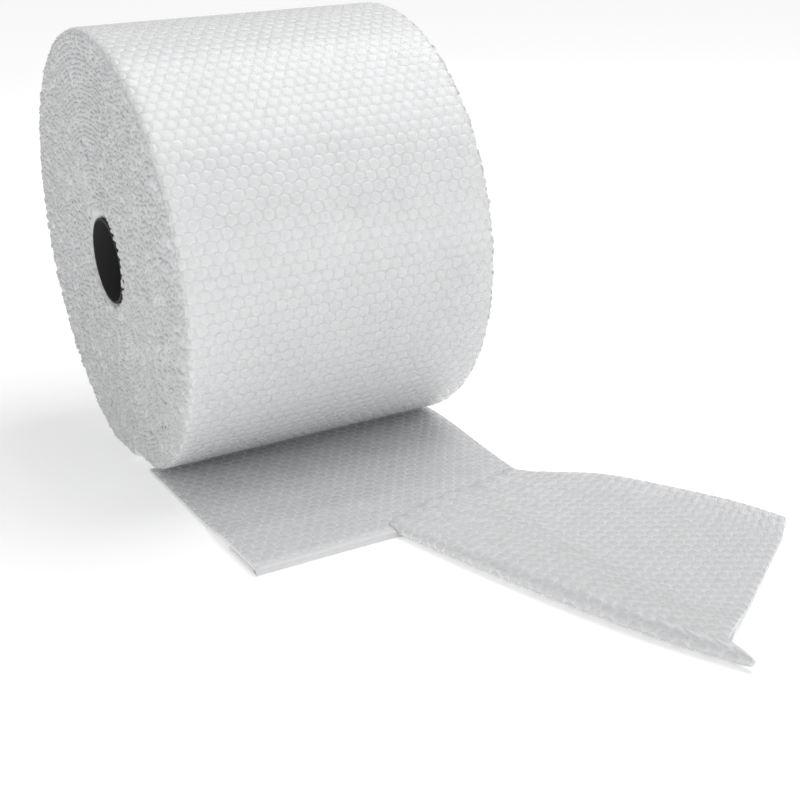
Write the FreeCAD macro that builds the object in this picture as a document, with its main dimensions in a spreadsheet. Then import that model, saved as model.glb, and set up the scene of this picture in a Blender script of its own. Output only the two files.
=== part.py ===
import FreeCAD, Part
import math
import os

from FreeCAD import Vector

os.makedirs("parts", exist_ok=True)
doc = FreeCAD.newDocument("bubble_wrap_roll")

# Driving sizes in millimetres, degrees or plain counts
SIZES = {
    "web_width": 300.0,
    "web_thickness": 4.0,
    "wound_thickness": 7.1,
    "turn_pitch": 8.5,
    "turn_count": 20,
    "bore_radius": 38.1,
    "core_wall": 1.9,
    "settle_depth": 10.0,
    "lead_length": 312.0,
    "flap_length": 55.0,
    "fold_gap": 0.6,
    "strip_length": 314.0,
    "strip_heading": -70.0,
}
sheet = doc.addObject("Spreadsheet::Sheet", "sizes")
for row, (alias, size) in enumerate(SIZES.items(), start=1):
    sheet.set(f"A{row}", alias)
    sheet.set(f"B{row}", str(size))
    sheet.setAlias(f"B{row}", alias)
doc.recompute()


def size_of(alias):
    return float(sheet.get(alias))


WIDTH = size_of("web_width")
THICK = size_of("web_thickness")
WOUND_THICK = size_of("wound_thickness")
PITCH = size_of("turn_pitch")
TURNS = int(size_of("turn_count"))
CORE_RADIUS = size_of("bore_radius") + size_of("core_wall")
LAST_RADIUS = CORE_RADIUS + PITCH * (TURNS - 1)
SETTLE = size_of("settle_depth")
LEAD = size_of("lead_length")
FLAP = size_of("flap_length")
GAP = size_of("fold_gap")
STRIP = size_of("strip_length")
HEADING = math.radians(size_of("strip_heading"))
# A turn that settles by less than this stays round
LEAST_SETTLE = 0.2
CENTRE_HEIGHT = LAST_RADIUS - SETTLE + WOUND_THICK

# Chords in a half turn inside the roll; the turns that show or meet the core are true arcs
CHORDS = 12
# Where the web thins from the wound double layer to the single lead, and over what run
STEP_DOWN = 60.0
STEP_RUN = 3 * THICK
# Where the front fold ends, across the web from its left edge
FOLD_SHARE = 0.42
FOLD_X = (FOLD_SHARE - 0.5) * WIDTH
# The far side of the slanted pleat lies further behind the front fold than the flap reaches
PLEAT_RISE = FLAP + 3.5 * THICK
# Where the wound web's lead joins the folded rest of it, behind both the flap and the pleat
LEAD_JOIN = LEAD - FLAP - 9 * THICK
# How far the loose strip starts inside the lead, and lies above the floor
STRIP_OVERLAP = 3.5 * THICK
STRIP_FLOOR = 0.3
# How far past the tucked layer's edge the strip's top layer starts and ends its way down
TUCK_MARGIN = 3 * THICK
TUCK_SLOPE = 11 * THICK
# Stations of the loose strip: share of its length, direction across it in degrees,
# share of the web's width that lies flat, and radius of the rolled edge in web thicknesses
STATIONS = [
    (0.00, 19.5, 0.60, 1.3),
    (0.27, 20.0, 0.67, 1.8),
    (0.56, 25.0, 0.74, 2.1),
    (0.81, 34.0, 0.79, 2.0),
    (1.00, 42.0, 0.79, 1.6),
]


def profile_point(y, z):
    return Vector(-WIDTH / 2, y, z)


def turn_radius(turn):
    return CORE_RADIUS + PITCH * turn


def settled_height(turn):
    """Distance of a turn's flat underside below the roll's centre."""
    radius = turn_radius(turn)
    share = (radius - CORE_RADIUS) / (LAST_RADIUS - CORE_RADIUS)
    drop = SETTLE * share**2
    return radius - drop if drop > LEAST_SETTLE else radius


def half_turn(centre_z, radius, start, end, chords):
    """Edges round the roll from one angle to another, in degrees: chords, or one true arc for none."""

    def at(angle):
        y = radius * math.cos(math.radians(angle))
        z = centre_z + radius * math.sin(math.radians(angle))
        return profile_point(y, CENTRE_HEIGHT + z)

    if not chords:
        return [Part.Arc(at(start), at((start + end) / 2), at(end)).toShape()]
    points = [at(start + (end - start) * i / chords) for i in range(chords + 1)]
    return [Part.makeLine(p, q) for p, q in zip(points, points[1:])]


def join(edges, point):
    """Adds a straight edge from the end of the last edge to a point, unless it is already there."""
    last = edges[-1].Vertexes[-1].Point
    if last.distanceToPoint(point) > 1e-6:
        edges.append(Part.makeLine(last, point))


def spiral_edges(offset):
    """One face of the wound web: a two-centre spiral whose turns are flattened where they rest."""
    edges = []
    for turn in range(TURNS):
        radius = turn_radius(turn) + offset
        depth = settled_height(turn) + offset
        meets_core = turn == 0 and offset == 0.0
        back_shows = turn == TURNS - 1 and offset > 0.0
        back_end = -math.degrees(math.asin(min(1.0, depth / radius)))
        back = half_turn(0.0, radius, 90.0, back_end, 0 if meets_core or back_shows else CHORDS)
        if edges:
            join(edges, back[0].Vertexes[0].Point)
        edges += back
        if turn == TURNS - 1:
            break
        front_shows = turn == TURNS - 2 and offset > 0.0
        front_radius = radius + PITCH / 2
        lift = math.degrees(math.asin(min(1.0, (depth + PITCH / 2) / front_radius)))
        front = half_turn(PITCH / 2, front_radius, lift - 180.0, -270.0, 0 if front_shows else CHORDS)
        join(edges, front[0].Vertexes[0].Point)
        edges += front
    return edges


def closed_face(edges):
    return Part.Face(Part.Wire(edges))


def wound_profile():
    """Outline of the wound web and of the lead as far as its join, in one line round both faces."""
    top = spiral_edges(0.0)
    join(top, profile_point(-STEP_DOWN, WOUND_THICK))
    join(top, profile_point(-STEP_DOWN - STEP_RUN, THICK))
    join(top, profile_point(-LEAD_JOIN, THICK))
    join(top, profile_point(-LEAD_JOIN, 0.0))
    underside = spiral_edges(WOUND_THICK)
    join(top, underside[-1].Vertexes[-1].Point)
    start = Part.makeLine(underside[0].Vertexes[0].Point, top[0].Vertexes[0].Point)
    return closed_face(top + underside[::-1] + [start])


def fold_profile():
    """Outline of the rest of the lead, which rises over its own front edge folded under."""
    nose = THICK + GAP / 2
    fold_y = -LEAD + nose
    flap_y = fold_y + FLAP
    ramp_y = flap_y + STEP_RUN
    upper = 2 * THICK + GAP

    def arc(start_z, mid_y, end_z):
        points = (profile_point(fold_y, start_z), profile_point(mid_y, nose), profile_point(fold_y, end_z))
        return Part.Arc(*points).toShape()

    edges = [Part.makeLine(profile_point(-LEAD_JOIN, 0.0), profile_point(-LEAD_JOIN, THICK))]
    join(edges, profile_point(ramp_y + STEP_RUN, THICK))
    join(edges, profile_point(ramp_y, upper))
    join(edges, profile_point(fold_y, upper))
    edges.append(arc(upper, -LEAD, 0.0))
    join(edges, profile_point(flap_y, 0.0))
    join(edges, profile_point(flap_y, THICK))
    join(edges, profile_point(fold_y, THICK))
    edges.append(arc(THICK, fold_y - GAP / 2, THICK + GAP))
    join(edges, profile_point(ramp_y, THICK + GAP))
    join(edges, profile_point(ramp_y + STEP_RUN, 0.0))
    join(edges, profile_point(-LEAD_JOIN, 0.0))
    return closed_face(edges)


def add_feature(name, shape):
    feature = doc.addObject("Part::Feature", name)
    feature.Shape = shape
    feature.Label = name
    return feature


def pleat_cutter():
    """Plan shape in front of the slanted pleat, where the lead turns into the loose strip."""
    beyond = WIDTH / 2 + THICK
    rise = PLEAT_RISE * (beyond - FOLD_X) / (WIDTH / 2 - FOLD_X)
    corners = [
        Vector(FOLD_X, -LEAD - THICK, -THICK),
        Vector(FOLD_X, -LEAD, -THICK),
        Vector(beyond, -LEAD + rise, -THICK),
        Vector(beyond, -LEAD - THICK, -THICK),
    ]
    return Part.Face(Part.makePolygon(corners + corners[:1]))


def strip_middle(along):
    """Point of the strip's middle line, which starts half a strip from the end of the front fold."""
    _, cross, flat_share, _ = STATIONS[0]
    half = flat_share * WIDTH / 2
    x = FOLD_X + half * math.cos(math.radians(cross)) + along * math.cos(HEADING)
    y = STRIP_OVERLAP - LEAD + half * math.sin(math.radians(cross)) + along * math.sin(HEADING)
    return x, y


def strip_section(station):
    """Closed outline of the strip across one station: top layer, rolled near edge, tucked layer."""
    share, cross, flat_share, roll_share = station
    roll = roll_share * THICK
    middle_x, middle_y = strip_middle(share * STRIP)
    across = math.radians(cross)
    flat = flat_share * WIDTH
    tuck = WIDTH - flat - math.pi * roll

    def place(distance, height):
        offset = distance - flat / 2
        x = middle_x + offset * math.cos(across)
        y = middle_y + offset * math.sin(across)
        return Vector(x, y, STRIP_FLOOR + height)

    def layer(lowered):
        two_layers = 2 * THICK + 2 * GAP
        poles = [
            place(roll, 2 * roll - lowered),
            place(0.5 * tuck, 2 * roll - lowered),
            place(tuck + TUCK_MARGIN, max(two_layers, 1.2 * roll) - lowered),
            place(tuck + TUCK_SLOPE, THICK - lowered),
            place(flat, THICK - lowered),
        ]
        curve = Part.BSplineCurve()
        curve.buildFromPoles(poles)
        return curve.toShape()

    edges = [
        layer(0.0),
        Part.makeLine(place(flat, THICK), place(flat, 0.0)),
        layer(THICK),
        Part.Arc(place(roll, 2 * roll - THICK), place(THICK, roll), place(roll, THICK)).toShape(),
        Part.makeLine(place(roll, THICK), place(tuck, THICK)),
        Part.makeLine(place(tuck, THICK), place(tuck, 0.0)),
        Part.makeLine(place(tuck, 0.0), place(roll, 0.0)),
        Part.Arc(place(roll, 0.0), place(0.0, roll), place(roll, 2 * roll)).toShape(),
    ]
    return Part.Wire(Part.__sortEdges__(edges))


def extrusion(name, face, direction):
    solid = doc.addObject("Part::Extrusion", name)
    solid.Base = add_feature(f"{name}_outline", face)
    solid.DirMode = "Custom"
    solid.Dir = direction
    solid.Solid = True
    return solid


def boolean(kind, name, base, tool):
    result = doc.addObject(f"Part::{kind}", name)
    result.Base = base
    result.Tool = tool
    return result


# Bubble web: the wound turns, the folded lead on the floor and the loose strip, one continuous sheet
wound = extrusion("wound_web", wound_profile(), Vector(1, 0, 0))
wound.setExpression("LengthFwd", "sizes.web_width")
folded = extrusion("folded_lead", fold_profile(), Vector(1, 0, 0))
folded.setExpression("LengthFwd", "sizes.web_width")
clearing = extrusion("pleat_clearing", pleat_cutter(), Vector(0, 0, 1))
clearing.setExpression("LengthFwd", "sizes.web_thickness * 5")
lead = boolean("Cut", "lead_to_pleat", folded, clearing)

strip = doc.addObject("Part::Loft", "loose_strip")
strip.Sections = [add_feature(f"strip_section_{i}", strip_section(s)) for i, s in enumerate(STATIONS)]
strip.Solid = True
strip.Ruled = True
loose_end = boolean("Fuse", "loose_end", lead, strip)
web = boolean("Fuse", "bubble_web", wound, loose_end)
web.Placement = FreeCAD.Placement()

# Core tube: a plain round tube along the roll's axis, inside the first turn
tubes = []
tube_radii = {"tube_outer": "sizes.bore_radius + sizes.core_wall", "tube_inner": "sizes.bore_radius"}
for name, radius in tube_radii.items():
    tube = doc.addObject("Part::Cylinder", name)
    tube.setExpression("Radius", radius)
    tube.setExpression("Height", "sizes.web_width")
    tubes.append(tube)
core = boolean("Cut", "core_tube", *tubes)
along_x = FreeCAD.Rotation(Vector(0, 1, 0), 90)
core.Placement = FreeCAD.Placement(Vector(-WIDTH / 2, 0, CENTRE_HEIGHT), along_x)

doc.recompute()
for item in doc.Objects:
    if "Invalid" in item.State or "Error" in item.State:
        raise RuntimeError(f"{item.Name} did not build: {item.State}")
    shape = getattr(item, "Shape", None)
    if shape is not None and (shape.isNull() or not shape.isValid()):
        raise RuntimeError(f"{item.Name} has no valid shape")

for node in (web, core):
    node.Shape.exportStep(f"parts/{node.Name}.step")
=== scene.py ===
import math

import bmesh
import bpy
import numpy as np
from bpy.props import FloatProperty, FloatVectorProperty, PointerProperty
from mathutils import Matrix, Vector


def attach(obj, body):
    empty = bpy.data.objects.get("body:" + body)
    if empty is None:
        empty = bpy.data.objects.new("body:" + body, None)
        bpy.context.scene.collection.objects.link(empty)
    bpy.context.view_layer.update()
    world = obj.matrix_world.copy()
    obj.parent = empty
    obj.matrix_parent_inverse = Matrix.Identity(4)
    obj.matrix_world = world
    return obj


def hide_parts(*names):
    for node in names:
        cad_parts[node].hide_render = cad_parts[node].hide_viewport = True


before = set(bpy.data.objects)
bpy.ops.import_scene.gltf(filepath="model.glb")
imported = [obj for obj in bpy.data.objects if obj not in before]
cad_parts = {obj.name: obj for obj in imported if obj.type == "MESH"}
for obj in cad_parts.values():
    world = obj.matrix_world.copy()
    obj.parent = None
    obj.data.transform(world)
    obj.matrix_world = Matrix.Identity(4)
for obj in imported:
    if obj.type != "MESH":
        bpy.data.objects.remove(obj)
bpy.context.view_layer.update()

bl_info = {
    "name": "Bubble wrap roll",
    "version": (1, 0, 0),
    "blender": (4, 5, 0),
    "location": "View3D > Sidebar > Bubble roll",
    "description": "Builds a roll of bubble film lying on its side with a folded loose end",
    "category": "Add Mesh",
}

MM = 0.001

# Points of the camera, worked out from the roll's outline in an 800 pixel wide picture
CAMERA_PLACE = Vector((-0.5081, -1.2884, 0.5271))
CAMERA_YAW = 30.51
CAMERA_PITCH = 23.01
CAMERA_ROLL = -2.02
CAMERA_LENS = 63.66
CAMERA_SHIFT = (-0.107, 0.082)

# Strengths of the lights, in watts, and of the white room round them
OVERHEAD = 20.0
FRONT = 3.0
FILL = 1.6
SIDE = 1.1
WORLD = 0.48
# Glow of the floor itself, near the roll and far from it: painted light, since the floor is no lamp
GLOW = (0.3, 0.5)

# Stations of the loose strip: share of its length, direction across it in degrees,
# share of the web's width that lies flat, and radius of the rolled edge in web thicknesses
STATIONS = [
    (0.00, 19.5, 0.60, 1.3),
    (0.27, 20.0, 0.67, 1.8),
    (0.56, 25.0, 0.74, 2.1),
    (0.81, 34.0, 0.79, 2.0),
    (1.00, 42.0, 0.79, 1.6),
]


def linear(hex_colour):
    """Linear colour of an sRGB hex value."""
    channels = [int(hex_colour[i : i + 2], 16) / 255 for i in (1, 3, 5)]
    return tuple(c / 12.92 if c <= 0.04045 else ((c + 0.055) / 1.055) ** 2.4 for c in channels)


def length(name, description, millimetres):
    return FloatProperty(name=name, description=description, default=millimetres * MM, unit="LENGTH")


def colour(name, description, hex_colour):
    return FloatVectorProperty(
        name=name, description=description, default=linear(hex_colour), subtype="COLOR", size=3, min=0.0, max=1.0
    )


class RollSizes(bpy.types.PropertyGroup):
    web_width: length("Web width", "Width of the bubble film", 300.0)
    web_thickness: length("Web thickness", "Height of the bubbles and their base film", 4.0)
    roll_radius: length("Roll radius", "From the axis to the outermost film", 208.6)
    core_radius: length("Core radius", "From the axis to the first turn", 40.0)
    turn_pitch: length("Turn pitch", "From one drawn turn to the next, which is two turns of film", 8.5)
    rim_radius: length("Rim radius", "Rounding of the wound film's two rims", 6.0)
    settle_depth: length("Settle depth", "How far the roll has settled on the floor", 10.0)
    bubble_pitch: length("Bubble pitch", "From one bubble to the next in a row", 11.1)
    bubble_radius: length("Bubble radius", "Radius of a bubble at its base", 5.0)
    disc_rise: length("Disc rise", "How far a bubble swells the flat film behind it", 0.6)
    lead_length: length("Lead length", "From below the axis to the front fold", 312.0)
    flap_length: length("Flap length", "Length of film folded under at the front", 55.0)
    fold_gap: length("Fold gap", "Gap between folded layers", 0.6)
    strip_length: length("Strip length", "Length of the loose strip", 314.0)
    strip_heading: FloatProperty(
        name="Strip heading", description="Direction of the loose strip", default=math.radians(-70.0), subtype="ANGLE"
    )
    fold_share: FloatProperty(
        name="Fold share", description="Share of the web's width that ends in the front fold", default=0.42
    )


class RollColours(bpy.types.PropertyGroup):
    film: colour("Film", "Flat film over the layers below it", "#EDEEEF")
    disc: colour("Discs", "Trapped air seen through the flat film", "#F6F7F7")
    edge: colour("Cut edges", "Slit edges of the wound film", "#DADBDC")
    loose: colour("Loose film", "Single film over the floor", "#E3E4E5")
    bubble: colour("Loose discs", "Trapped air of the loose film", "#EBECED")
    # Dark grey, partly the board's own colour and partly painted shade of the bore's shaded inside
    board: colour("Core board", "Wound board of the core", "#3A3A3B")
    floor: colour("Floor", "Studio floor", "#F4F4F4")


def sizes():
    return bpy.context.scene.bubble_roll_sizes


def colours():
    return bpy.context.scene.bubble_roll_colours


def centre_height():
    return sizes().roll_radius - sizes().settle_depth


def smooth(low, high, values):
    t = np.clip((values - low) / (high - low), 0.0, 1.0)
    return t * t * (3 - 2 * t)


# Placing: flat film, as made, is put where it lies. Each function takes arrays and gives arrays.


def settle(z, below):
    """Height above the axis once what is below a turn's resting height is pressed flat.
    Below is how far under the axis the turn would reach if the roll were round."""
    s = sizes()
    share = (below - s.core_radius) / (s.roll_radius - s.core_radius)
    rest = below - s.settle_depth * share**2
    bend = 2 * MM
    blend = np.clip(0.5 + 0.5 * (rest + z) / bend, 0.0, 1.0)
    pressed = blend * z - rest * (1 - blend) + bend * blend * (1 - blend) / 2
    return np.where(z < 0, pressed, z)


def rounded(x, depth):
    """Draws the roll's rims in to a fillet. Depth is how far under the roll's outer face a point lies."""
    s = sizes()
    flat = s.web_width / 2 - s.rim_radius
    beyond = np.maximum(np.abs(x) - flat, 0.0)
    above = np.maximum(s.rim_radius - depth, 0.0)
    reach = np.maximum(np.hypot(beyond, above), 1e-9)
    shrink = np.minimum(s.rim_radius / reach, 1.0)
    return np.sign(x) * (np.abs(x) - beyond * (1 - shrink)), depth + above * (1 - shrink)


def spiral(turned, height):
    """Point across the axis on the wound web's outer face. Turned is the angle back from the bottom,
    where the web leaves the roll, and each turn's front half has its centre half a pitch higher."""
    s = sizes()
    turn = np.floor(turned / (2 * math.pi))
    phase = turned - turn * 2 * math.pi
    front = np.where(phase > math.pi, 1.0, 0.0)
    lift = front * s.turn_pitch / 2
    radius = s.roll_radius - s.turn_pitch * turn - lift + height
    z = lift - radius * np.cos(phase)
    return radius * np.sin(phase), settle(z, radius - lift) + centre_height()


def swollen(depth):
    """How far the roll's ends swell out half way to the core, and shrink back from the core itself."""
    s = sizes()
    whole = s.roll_radius - s.core_radius
    return 2 * MM * np.sqrt(np.clip(depth / whole, 0.0, 1.0)) - 4 * MM * smooth(whole - 8 * MM, whole, depth)


def lead_rise(x, distance):
    """Height of the lead over its folded flap, which fades towards the far side of the pleat."""
    s = sizes()
    fold_x = (s.fold_share - 0.5) * s.web_width
    fade = np.clip((s.web_width / 2 - x) / (s.web_width / 2 - fold_x), 0.0, 1.0)
    start = s.lead_length - s.flap_length - 17 * s.web_thickness
    layer = s.web_thickness + s.fold_gap
    return layer * fade * smooth(start, start + 15 * s.web_thickness, distance)


def lead(x, distance, height):
    """Point on the lead: forward over the floor, round the front fold and back under it."""
    s = sizes()
    nose = s.web_thickness + s.fold_gap / 2
    fold_y = s.lead_length - nose
    bend = s.fold_gap / 2
    past = distance - fold_y
    turn = np.clip(past / (math.pi * bend), 0.0, 1.0) * math.pi
    back = np.maximum(past - math.pi * bend, 0.0)
    flat = np.minimum(distance, fold_y)
    y = -(flat + (bend + height) * np.sin(turn)) + back
    z = lead_rise(x, flat) + np.where(past > 0, bend * (np.cos(turn) - 1) + height * np.cos(turn), height)
    pinch = 1 - 0.4 * smooth(s.lead_length - 16 * MM, s.lead_length, -y)
    right = smooth(60 * MM, 250 * MM, distance) * (x / s.web_width + 0.5) ** 2
    return x - 14 * MM * right, y - 8 * MM * right, z * pinch


def station_values(share):
    """Direction across, flat width and edge radius of the strip at shares of its length."""
    s = sizes()
    at = [row[0] for row in STATIONS]
    fine = np.linspace(0, 1, 101)
    values = []
    for column in (1, 2, 3):
        row = np.interp(fine, at, [station[column] for station in STATIONS])
        padded = np.pad(row, 8, mode="edge")
        row = np.convolve(padded, np.ones(17) / 17, mode="valid")
        values.append(np.interp(share, fine, row))
    return np.radians(values[0]), values[1] * s.web_width, values[2] * s.web_thickness


def strip(across, along, height):
    """Point on the loose strip: across is measured from its far edge, and goes round the rolled edge."""
    s = sizes()
    end = smooth(0.7 * s.strip_length, s.strip_length, along)
    cross, flat, roll = station_values(along / s.strip_length)
    tip = smooth(flat - 14 * MM, flat + 2 * MM, across) * (1 - smooth(flat + 5 * MM, flat + 20 * MM, across))
    drawn_in = np.clip((across - 25 * MM) / (flat - 45 * MM), 0.0, 1.0)
    along = along + end * (22 * MM * tip - 16 * MM * drawn_in)
    first_cross, first_flat, _ = station_values(0.0)
    fold_x = (s.fold_share - 0.5) * s.web_width
    start_x = fold_x + first_flat / 2 * np.cos(first_cross)
    start_y = 3.5 * s.web_thickness - s.lead_length + first_flat / 2 * np.sin(first_cross)
    middle_x = start_x + along * math.cos(s.strip_heading)
    middle_y = start_y + along * math.sin(s.strip_heading)
    film = s.web_thickness
    inner = roll - film
    tuck = s.web_width - flat - math.pi * roll
    past = across - (flat - roll)
    turn = np.clip(past / (math.pi * roll), 0.0, 1.0) * math.pi
    under = np.maximum(past - math.pi * roll, 0.0)
    top_distance = flat - np.minimum(across, flat - roll)
    hump = 1 - smooth(0.4 * tuck, tuck + 11 * film, top_distance)
    top = (2 * roll - film) * hump
    distance = np.where(past > 0, roll - (inner + height) * np.sin(turn) + under, top_distance)
    z = np.where(past > 0, roll + (inner + height) * np.cos(turn), top + height)
    offset = distance - flat / 2
    curl = 7 * MM * smooth(0, 0.4 * s.strip_length, along) * np.clip(1 - across / (35 * MM), 0.0, 1.0) ** 2
    start = smooth(0.3 * s.strip_length, 0, along) * smooth(0.6 * flat, 0, across)
    x = middle_x + offset * np.cos(cross) - 14 * MM * start
    y = middle_y + offset * np.sin(cross) - 8 * MM * start
    fade = np.exp(-along / (90 * MM)) * smooth(0, 25 * MM, across) * np.where(past > 0, 0.0, 1.0)
    wrinkle = 1.1 * MM * fade * (1 + np.sin(across * 2 * np.pi / (24 * MM) + along / (25 * MM)))
    return x, y, z + curl + wrinkle + 0.3 * MM


# Making: pieces are made flat with Blender's own tools, then laid


def mesh_from(bm, name):
    mesh = bpy.data.meshes.new(name)
    bm.to_mesh(mesh)
    bm.free()
    return mesh


def new_piece(name, mesh, materials):
    piece = bpy.data.objects.new(name, mesh)
    bpy.context.scene.collection.objects.link(piece)
    for material in materials:
        mesh.materials.append(material)
    mesh.shade_smooth()
    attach(piece, "root")
    return piece


def laid(mesh, place, mirrored=False):
    """Moves a flat mesh's points to where the film lies, and turns its faces back out if that mirrors it."""
    points = np.empty(len(mesh.vertices) * 3)
    mesh.vertices.foreach_get("co", points)
    columns = points.reshape(-1, 3).T.copy()
    mesh.vertices.foreach_set("co", np.stack(place(*columns), axis=1).ravel())
    if mirrored:
        mesh.flip_normals()
    mesh.update()
    return mesh


def swelling(radius, steps, segments=12, tip=0.0):
    """One bubble, open below: a circle inset and raised by steps of (inset, rise)."""
    bm = bmesh.new()
    bmesh.ops.create_circle(bm, cap_ends=True, segments=segments, radius=radius)
    top = bm.faces[:]
    for inset, rise in steps:
        bmesh.ops.inset_individual(bm, faces=top, thickness=inset, depth=rise, use_even_offset=True)
    bmesh.ops.poke(bm, faces=top, offset=tip)
    return bm


def repeated(mesh, name, repeats):
    """The mesh repeated by Array modifiers, one for each step and count."""
    piece = bpy.data.objects.new(name, mesh)
    bpy.context.scene.collection.objects.link(piece)
    for step, count in repeats:
        array = piece.modifiers.new("repeat", "ARRAY")
        array.use_relative_offset = False
        array.use_constant_offset = True
        array.constant_offset_displace = step
        array.count = count
    graph = bpy.context.evaluated_depsgraph_get()
    result = bpy.data.meshes.new_from_object(piece.evaluated_get(graph))
    result.name = name
    bpy.data.objects.remove(piece)
    return result


def bubble_field(name, bubble, across, along):
    """A flat field of bubbles, close-packed, with rows across the web, from the origin."""
    pitch = sizes().bubble_pitch
    rows = round(along / (pitch * math.sqrt(3)))
    row = along / rows / 2
    columns = int(across / pitch) + 1
    first = mesh_from(bubble, name)
    bm = bmesh.new()
    bm.from_mesh(first)
    second = bmesh.ops.duplicate(bm, geom=bm.verts[:] + bm.edges[:] + bm.faces[:])["geom"]
    second_points = [item for item in second if isinstance(item, bmesh.types.BMVert)]
    bmesh.ops.translate(bm, verts=second_points, vec=(pitch / 2, row, 0))
    margin = (across - (columns - 0.5) * pitch) / 2
    bmesh.ops.translate(bm, verts=bm.verts[:], vec=(margin, row / 2, 0))
    repeats = [((pitch, 0, 0), columns), ((0, 2 * row, 0), rows)]
    field = repeated(mesh_from(bm, name), name, repeats)
    return trimmed(trimmed(field, (across, 0, 0), (1, 0, 0)), (0, 0, 0), (-1, 0, 0))


def disc_field(name, across, along, height):
    """A flat field of air discs, which swell the film at a height a little."""
    s = sizes()
    steps = [(0.7 * MM, 0.6 * s.disc_rise), (1.6 * MM, 0.3 * s.disc_rise)]
    disc = swelling(s.bubble_radius, steps, segments=10, tip=0.1 * s.disc_rise)
    bmesh.ops.translate(disc, verts=disc.verts[:], vec=(0, 0, height - 0.05 * MM))
    return bubble_field(name, disc, across, along)


def flat_film(name, across, along, columns, rows, height):
    """A flat grid of film from the origin, at a height."""
    bm = bmesh.new()
    bmesh.ops.create_grid(bm, x_segments=columns, y_segments=rows, size=0.5)
    bmesh.ops.translate(bm, verts=bm.verts[:], vec=(0.5, 0.5, height))
    bmesh.ops.scale(bm, verts=bm.verts[:], vec=(across, along, 1))
    return bm


def thicken(piece, thickness):
    solid = piece.modifiers.new("film", "SOLIDIFY")
    solid.thickness = thickness
    solid.offset = -1.0
    return piece


def trimmed(mesh, point, normal):
    """The flat mesh without what lies past a line."""
    bm = bmesh.new()
    bm.from_mesh(mesh)
    geometry = bm.verts[:] + bm.edges[:] + bm.faces[:]
    bmesh.ops.bisect_plane(bm, geom=geometry, plane_co=point, plane_no=normal, clear_outer=True)
    bm.to_mesh(mesh)
    bm.free()
    return mesh


# Materials


def add_node(tree, kind, values=(), links=(), **settings):
    """Adds a node with these settings, gives its sockets their values and links, and returns it."""
    node = tree.nodes.new(kind)
    for key, value in settings.items():
        setattr(node, key, value)
    for key, value in dict(values).items():
        node.inputs[key].default_value = value
    for key, output in dict(links).items():
        tree.links.new(output, node.inputs[key])
    return node


def film_material(name, base, roughness=0.25, mottle=0.05, relief=0.2, depth=0.0, cover=1.0, gloss=1.0):
    """Polyethylene film: clear and glossy, and milky where layers of it lie on each other. Mottle is the
    share of light lost where deeper bubbles show through, depth how far light travels sideways in the
    layers, cover how much of what lies under a single film it hides, and gloss how strongly it mirrors."""
    material = bpy.data.materials.new(name)
    material.use_nodes = True
    tree = material.node_tree
    shader = tree.nodes["Principled BSDF"]
    place = add_node(tree, "ShaderNodeTexCoord").outputs["Object"]
    cells = add_node(tree, "ShaderNodeTexVoronoi", {"Scale": 1 / (5.6 * MM)}, {"Vector": place})
    clouds = add_node(tree, "ShaderNodeTexNoise", {"Scale": 1 / (30 * MM), "Detail": 3.0}, {"Vector": place})
    mixed = {0: cells.outputs["Distance"], 2: clouds.outputs["Fac"]}
    mix = add_node(tree, "ShaderNodeMath", {1: 0.6}, mixed, operation="MULTIPLY_ADD")
    ramp = add_node(tree, "ShaderNodeValToRGB", {}, {"Fac": mix.outputs[0]})
    low, high = ramp.color_ramp.elements
    low.position = 0.45
    low.color = (*[c * (1 - mottle) for c in base], 1)
    high.position = 0.95
    high.color = (*base, 1)
    tree.links.new(ramp.outputs["Color"], shader.inputs["Base Color"])
    creases = add_node(tree, "ShaderNodeTexNoise", {"Scale": 1 / (1.6 * MM), "Detail": 2.0}, {"Vector": place})
    heights = {"Height": creases.outputs["Fac"]}
    bump = add_node(tree, "ShaderNodeBump", {"Strength": relief, "Distance": 0.3 * MM}, heights)
    tree.links.new(bump.outputs["Normal"], shader.inputs["Normal"])
    shader.inputs["Roughness"].default_value = roughness
    shader.inputs["Specular IOR Level"].default_value = gloss
    shader.inputs["Alpha"].default_value = cover
    if depth:
        shader.inputs["Subsurface Weight"].default_value = 1.0
        shader.inputs["Subsurface Radius"].default_value = (1.0, 1.0, 1.0)
        shader.inputs["Subsurface Scale"].default_value = depth
    return material


def board_material():
    """Wound grey board: matt, with fine fibre. Its dark grey is partly the board's own colour and partly painted
    shade, as dark as the shaded inside of the bore.
    """
    material = bpy.data.materials.new("wound_grey_board")
    material.use_nodes = True
    tree = material.node_tree
    shader = tree.nodes["Principled BSDF"]
    place = add_node(tree, "ShaderNodeTexCoord").outputs["Object"]
    fibre = add_node(tree, "ShaderNodeTexNoise", {"Scale": 1 / (1.5 * MM), "Detail": 4.0}, {"Vector": place})
    ramp = add_node(tree, "ShaderNodeValToRGB", {}, {"Fac": fibre.outputs["Fac"]})
    base = colours().board
    ramp.color_ramp.elements[0].color = (*[c * 0.7 for c in base], 1)
    ramp.color_ramp.elements[1].color = (*base, 1)
    tree.links.new(ramp.outputs["Color"], shader.inputs["Base Color"])
    shader.inputs["Roughness"].default_value = 0.85
    return material


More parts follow.
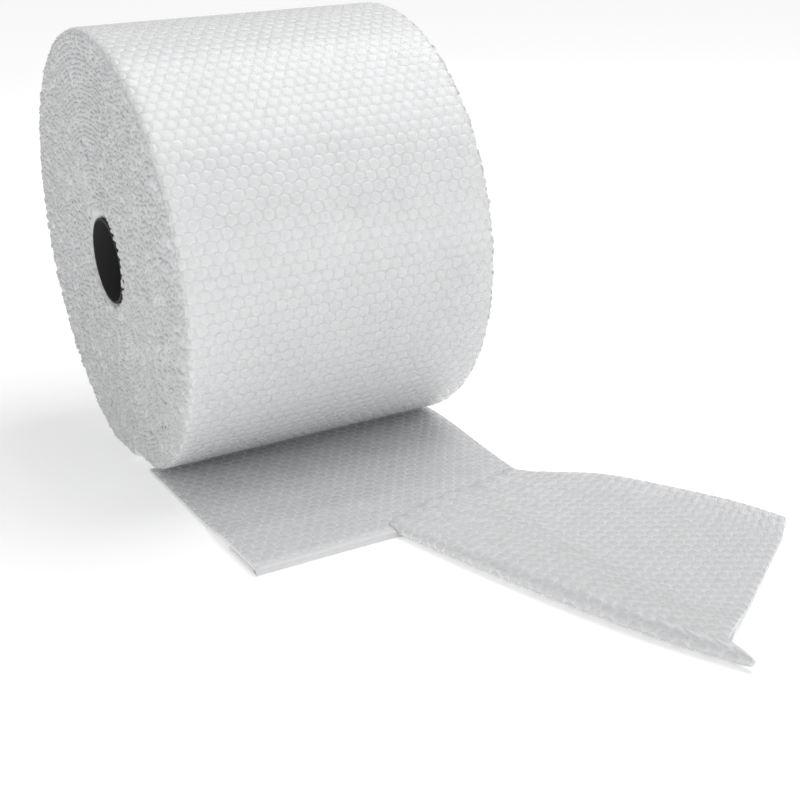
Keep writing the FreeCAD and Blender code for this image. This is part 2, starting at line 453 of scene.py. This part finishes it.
def floor_material():
    """Matt studio floor that gives off light of its own, fainter within 0.75 m of the roll than beyond 1.2 m: painted
    light, since the floor is no lamp.
    """
    material = bpy.data.materials.new("glowing_studio_floor")
    material.use_nodes = True
    tree = material.node_tree
    shader = tree.nodes["Principled BSDF"]
    shader.inputs["Base Color"].default_value = (*colours().floor, 1)
    shader.inputs["Roughness"].default_value = 0.9
    shader.inputs["Specular IOR Level"].default_value = 0.1
    # Painted light: the floor's emission lights the floor and the roll, though the floor is no lamp
    shader.inputs["Emission Color"].default_value = (1, 1, 1, 1)
    place = add_node(tree, "ShaderNodeTexCoord").outputs["Object"]
    away = add_node(tree, "ShaderNodeVectorMath", {}, {0: place}, operation="LENGTH").outputs["Value"]
    reach = {"From Min": 0.75, "From Max": 1.2, "To Min": GLOW[0], "To Max": GLOW[1]}
    glow = add_node(tree, "ShaderNodeMapRange", reach, {"Value": away}, interpolation_type="SMOOTHSTEP")
    tree.links.new(glow.outputs["Result"], shader.inputs["Emission Strength"])
    return material


def material(name):
    """The scene's material of that name, made the first time it is asked for."""
    found = bpy.data.materials.get(name)
    if found:
        return found
    c = colours()
    makers = {
        "wound_film": lambda: film_material(name, c.film, depth=25 * MM, gloss=0.4),
        "air_discs": lambda: film_material(name, c.disc, cover=0.45),
        "slit_edges": lambda: film_material(name, c.edge, roughness=0.35, mottle=0.08, relief=0.3, cover=0.8),
        "loose_film": lambda: film_material(name, c.loose, depth=4 * MM, gloss=0.4),
        "loose_discs": lambda: film_material(name, c.bubble, cover=0.6),
        "wound_grey_board": board_material,
        "glowing_studio_floor": floor_material,
    }
    return makers[name]()


class OBJECT_OT_wound_film(bpy.types.Operator):
    """Adds the wound film: a body with rounded rims and the air discs on its outermost turn"""

    bl_idname = "bubble_roll.wound_film"
    bl_label = "Wound film"

    def execute(self, context):
        s = sizes()
        half = s.web_width / 2
        bm = bmesh.new()
        corners = [(-half, s.core_radius), (half, s.core_radius), (half, s.roll_radius), (-half, s.roll_radius)]
        points = [bm.verts.new((x, 0, -radius)) for x, radius in corners]
        edges = [bm.edges.new((a, b)) for a, b in zip(points, points[1:] + points[:1])]
        bmesh.ops.subdivide_edges(bm, edges=edges[1::2], cuts=40)
        bmesh.ops.subdivide_edges(bm, edges=[edges[2]], cuts=60)
        bmesh.ops.spin(
            bm,
            geom=bm.verts[:] + bm.edges[:],
            cent=(0, 0, 0),
            axis=(1, 0, 0),
            angle=2 * math.pi,
            steps=144,
            use_merge=True,
        )
        bmesh.ops.recalc_face_normals(bm, faces=bm.faces[:])

        def place(x, y, z):
            radius = np.hypot(y, z)
            turned = np.mod(np.arctan2(y, -z), 2 * math.pi)
            x, depth = rounded(x, s.roll_radius - radius)
            x = x * (1 - 1.5 * MM / half) + np.sign(x) * swollen(depth) * (np.abs(x) > half - s.rim_radius)
            share = 1 - depth / (s.roll_radius - s.core_radius)
            outer_y, outer_z = spiral(turned, -0.3 * MM)
            core_y = s.core_radius * np.sin(turned)
            core_z = centre_height() - s.core_radius * np.cos(turned)
            return x, core_y + (outer_y - core_y) * share, core_z + (outer_z - core_z) * share

        body = new_piece("wound_film", laid(mesh_from(bm, "wound_film"), place), [material("wound_film")])
        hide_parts("bubble_web")

        around = 2 * math.pi * (s.roll_radius - s.turn_pitch / 2)
        for name, start in (("air_discs_back", 0.0), ("air_discs_front", 0.5)):
            field = disc_field(name, s.web_width, around / 2, -0.3 * MM)

            def place_disc(u, v, h, start=start):
                x, depth = rounded(u - half, np.zeros_like(u))
                y, z = spiral((v / around + start) * 2 * math.pi, h - depth)
                return x, y, z

            new_piece(name, laid(field, place_disc, mirrored=True), [material("air_discs")])
        return {"FINISHED"}


class OBJECT_OT_slit_edges(bpy.types.Operator):
    """Adds the slit edges of every turn, with a row of cut bubbles along each, at both ends of the roll"""

    bl_idname = "bubble_roll.slit_edges"
    bl_label = "Slit edges"

    def execute(self, context):
        s = sizes()
        half = s.web_width / 2
        inmost = s.core_radius + s.turn_pitch / 4
        spacing = s.bubble_pitch / 2
        cushion = swelling(spacing * 0.45, [(0.5 * MM, 0.9 * MM), (0.9 * MM, 0.5 * MM)], segments=8, tip=0.1 * MM)
        bmesh.ops.scale(cushion, verts=cushion.verts[:], vec=(1.1, 0.85, 1))
        cushion = mesh_from(cushion, "cushion")
        for seed, side, layer, name in (
            (1, -1, 0.25, "slit_edges_left_outer"),
            (2, -1, 0.75, "slit_edges_left_inner"),
            (3, 1, 0.25, "slit_edges_right_outer"),
            (4, 1, 0.75, "slit_edges_right_inner"),
        ):
            middle = s.roll_radius - s.turn_pitch * layer
            count = int(math.pi * (middle**2 - inmost**2) / s.turn_pitch / spacing)
            row = repeated(cushion, name, [((spacing, 0, 0), count)])
            jitter = np.random.default_rng(seed).uniform(-1.0, 1.0, (count + 1, 4))

            def place(u, v, h, side=side, layer=layer, middle=middle, jitter=jitter):
                number = np.clip(np.floor(u / spacing + 0.5), 0, len(jitter) - 1).astype(int)
                run = u + (0.5 + 0.45 * jitter[number, 3]) * spacing
                run = np.maximum(run, 0.0)
                turned = (middle - np.sqrt(middle**2 - s.turn_pitch * run / math.pi)) * 2 * math.pi / s.turn_pitch
                inward = s.turn_pitch * layer - v * (1 + 0.2 * jitter[number, 0]) - 0.6 * MM * jitter[number, 1]
                under = s.turn_pitch * np.floor(turned / (2 * math.pi))
                x, depth = rounded(np.full_like(u, half), under + inward)
                y, z = spiral(turned, under - depth)
                lift = h * (1 + 0.6 * jitter[number, 2]) + 0.5 * MM * jitter[number, 0]
                return side * (x - 1.8 * MM + lift + swollen(depth)), y, z

            new_piece(name, laid(row, place, mirrored=side > 0), [material("slit_edges")])
        return {"FINISHED"}


class OBJECT_OT_lead(bpy.types.Operator):
    """Adds the lead: film and its air discs from under the roll to the front fold and the slanted pleat"""

    bl_idname = "bubble_roll.lead"
    bl_label = "Lead"

    def execute(self, context):
        s = sizes()
        half = s.web_width / 2
        fold_at = s.fold_share * s.web_width
        whole = s.lead_length + s.flap_length
        rise = s.flap_length + 3.5 * s.web_thickness

        def place(u, v, h):
            return lead(u - half, v, h)

        def without_corner(mesh):
            """The web with its far front corner folded away along the slanted pleat."""
            corner = trimmed(mesh.copy(), (fold_at, 0, 0), (-1, 0, 0))
            slope = Vector((rise, s.web_width - fold_at, 0)).normalized()
            bm = bmesh.new()
            bm.from_mesh(trimmed(mesh, (fold_at, 0, 0), (1, 0, 0)))
            bm.from_mesh(trimmed(corner, (fold_at, s.lead_length, 0), slope))
            bmesh.ops.remove_doubles(bm, verts=bm.verts[:], dist=0.01 * MM)
            return mesh_from(bm, mesh.name)

        top = s.web_thickness - 0.3 * MM
        grid = mesh_from(flat_film("lead_film", s.web_width, whole, 60, 240, top), "lead_film")
        under_roll = 45 * MM
        mesh = laid(trimmed(without_corner(grid), (0, under_roll, 0), (0, -1, 0)), place, mirrored=True)
        film = thicken(new_piece("lead_film", mesh, [material("loose_film")]), top - 0.2 * MM)
        field = disc_field("lead_discs", s.web_width, s.lead_length - 9 * MM, top)
        mesh = laid(trimmed(without_corner(field), (0, under_roll, 0), (0, -1, 0)), place, mirrored=True)
        discs = new_piece("lead_discs", mesh, [material("loose_discs")])
        return {"FINISHED"}


class OBJECT_OT_strip(bpy.types.Operator):
    """Adds the loose strip: film and its air discs, with the near edge rolled under"""

    bl_idname = "bubble_roll.strip"
    bl_label = "Loose strip"

    def execute(self, context):
        s = sizes()
        top = s.web_thickness - 0.3 * MM
        film = mesh_from(flat_film("strip_film", s.web_width, s.strip_length, 150, 90, top), "strip_film")
        film = thicken(new_piece("strip_film", laid(film, strip), [material("loose_film")]), top - 0.2 * MM)
        field = disc_field("strip_discs", s.web_width, s.strip_length, top)
        discs = new_piece("strip_discs", laid(field, strip), [material("loose_discs")])
        return {"FINISHED"}


class OBJECT_OT_core(bpy.types.Operator):
    """Gives the core tube its board finish"""

    bl_idname = "bubble_roll.core"
    bl_label = "Core tube"

    def execute(self, context):
        tube = bpy.data.objects["core_tube"]
        tube.data.materials.clear()
        tube.data.materials.append(material("wound_grey_board"))
        return {"FINISHED"}


class OBJECT_OT_stage(bpy.types.Operator):
    """Adds the floor, the lights and the camera"""

    bl_idname = "bubble_roll.stage"
    bl_label = "Stage"

    def execute(self, context):
        scene = context.scene
        bm = bmesh.new()
        bmesh.ops.create_grid(bm, x_segments=1, y_segments=1, size=8.0)
        floor = bpy.data.objects.new("floor", mesh_from(bm, "floor"))
        floor.data.materials.append(material("glowing_studio_floor"))
        scene.collection.objects.link(floor)
        floor.location.z = -0.2 * MM

        world = bpy.data.worlds.new("studio")
        world.use_nodes = True
        back = world.node_tree.nodes["Background"]
        back.inputs["Color"].default_value = (1, 1, 1, 1)
        back.inputs["Strength"].default_value = WORLD
        scene.world = world

        target = Vector((0, 0, centre_height()))
        lights = [
            ("overhead", 80.0, 66.0, 1.9, (2.0, 1.2), OVERHEAD),
            ("front", 25.0, 3.0, 2.4, (0.6, 0.8), FRONT),
            ("fill", 0.0, 33.0, 2.2, (1.4, 0.8), FILL),
            ("side", -65.0, 4.0, 1.0, (0.6, 0.5), SIDE),
        ]
        for name, azimuth, elevation, distance, size, power in lights:
            light = bpy.data.lights.new(name, "AREA")
            light.shape = "RECTANGLE"
            light.size, light.size_y = size
            light.energy = power
            lamp = bpy.data.objects.new(name, light)
            a, e = math.radians(azimuth), math.radians(elevation)
            away = Vector((math.sin(a) * math.cos(e), -math.cos(a) * math.cos(e), math.sin(e)))
            lamp.location = target + away * distance
            lamp.rotation_euler = (-away).to_track_quat("-Z", "Y").to_euler()
            scene.collection.objects.link(lamp)

        data = bpy.data.cameras.new("camera")
        data.lens = CAMERA_LENS
        data.shift_x, data.shift_y = CAMERA_SHIFT
        camera = bpy.data.objects.new("camera", data)
        scene.collection.objects.link(camera)
        yaw, pitch, roll = (math.radians(a) for a in (CAMERA_YAW, CAMERA_PITCH, CAMERA_ROLL))
        look = Vector((math.sin(yaw) * math.cos(pitch), math.cos(yaw) * math.cos(pitch), -math.sin(pitch)))
        level = Vector((math.cos(yaw), -math.sin(yaw), 0))
        upright = level.cross(look)
        right = level * math.cos(roll) + upright * math.sin(roll)
        up = upright * math.cos(roll) - level * math.sin(roll)
        turn = Matrix((right, up, -look)).transposed().to_4x4()
        camera.matrix_world = Matrix.Translation(CAMERA_PLACE) @ turn
        scene.camera = camera
        scene.view_settings.view_transform = "Standard"
        return {"FINISHED"}


class VIEW3D_PT_bubble_roll(bpy.types.Panel):
    """Lists the roll's operators, sizes and colours"""

    bl_label = "Bubble roll"
    bl_space_type = "VIEW_3D"
    bl_region_type = "UI"
    bl_category = "Bubble roll"

    def draw(self, context):
        for operator in OPERATORS:
            self.layout.operator(operator.bl_idname)
        for group in (context.scene.bubble_roll_sizes, context.scene.bubble_roll_colours):
            for name in group.__annotations__:
                self.layout.prop(group, name)


OPERATORS = [
    OBJECT_OT_wound_film,
    OBJECT_OT_slit_edges,
    OBJECT_OT_lead,
    OBJECT_OT_strip,
    OBJECT_OT_core,
    OBJECT_OT_stage,
]
CLASSES = [RollSizes, RollColours, *OPERATORS, VIEW3D_PT_bubble_roll]


def register():
    for item in CLASSES:
        bpy.utils.register_class(item)
    bpy.types.Scene.bubble_roll_sizes = PointerProperty(type=RollSizes)
    bpy.types.Scene.bubble_roll_colours = PointerProperty(type=RollColours)


def unregister():
    del bpy.types.Scene.bubble_roll_colours
    del bpy.types.Scene.bubble_roll_sizes
    for item in reversed(CLASSES):
        bpy.utils.unregister_class(item)


def main():
    register()
    bpy.ops.bubble_roll.wound_film()
    bpy.ops.bubble_roll.slit_edges()
    bpy.ops.bubble_roll.lead()
    bpy.ops.bubble_roll.strip()
    bpy.ops.bubble_roll.core()
    bpy.ops.bubble_roll.stage()


if __name__ == "__main__":
    main()
